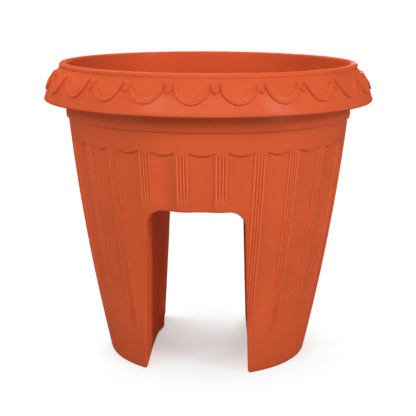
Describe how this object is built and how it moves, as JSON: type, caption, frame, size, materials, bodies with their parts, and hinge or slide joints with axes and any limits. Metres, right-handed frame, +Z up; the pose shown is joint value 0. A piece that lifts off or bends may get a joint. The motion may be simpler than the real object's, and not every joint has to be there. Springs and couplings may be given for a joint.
{
  "type": "railing planter",
  "caption": "Round terracotta-coloured plastic planter on two hollow legs that straddle a railing, with a bell-shaped festooned rim, fluted sides, drain plugs and soil grids.",
  "frame": {"origin": "centre of the pot's axis on the ground under the feet", "axes": "+Z up along the pot's axis; the railing slot runs along Y; -Y is the front; +X is towards the wider leg"},
  "size_m": [0.32, 0.32, 0.289],
  "materials": {
    "terracotta_plastic": "satin moulded polypropylene in terracotta orange",
    "grid_plastic": "matt moulded polypropylene in dark terracotta"
  },
  "bodies": {
    "planter": {"pot_shell": "terracotta_plastic", "rim_collar": "terracotta_plastic"},
    "plug_left": {"drain_plug_left": "terracotta_plastic"},
    "plug_right": {"drain_plug_right": "terracotta_plastic"},
    "grid_left": {"soil_grid_left": "grid_plastic"},
    "grid_right": {"soil_grid_right": "grid_plastic"}
  },
  "joints": [
    {"name": "plug_left_pull", "type": "slide", "parent": "planter", "child": "plug_left", "axis": [0, 0, -1], "range_m": [0, 0.03]},
    {"name": "plug_right_pull", "type": "slide", "parent": "planter", "child": "plug_right", "axis": [0, 0, -1], "range_m": [0, 0.03]},
    {"name": "grid_left_lift", "type": "slide", "parent": "planter", "child": "grid_left", "axis": [0, 0, 1], "range_m": [0, 0.3]},
    {"name": "grid_right_lift", "type": "slide", "parent": "planter", "child": "grid_right", "axis": [0, 0, 1], "range_m": [0, 0.3]}
  ]
}
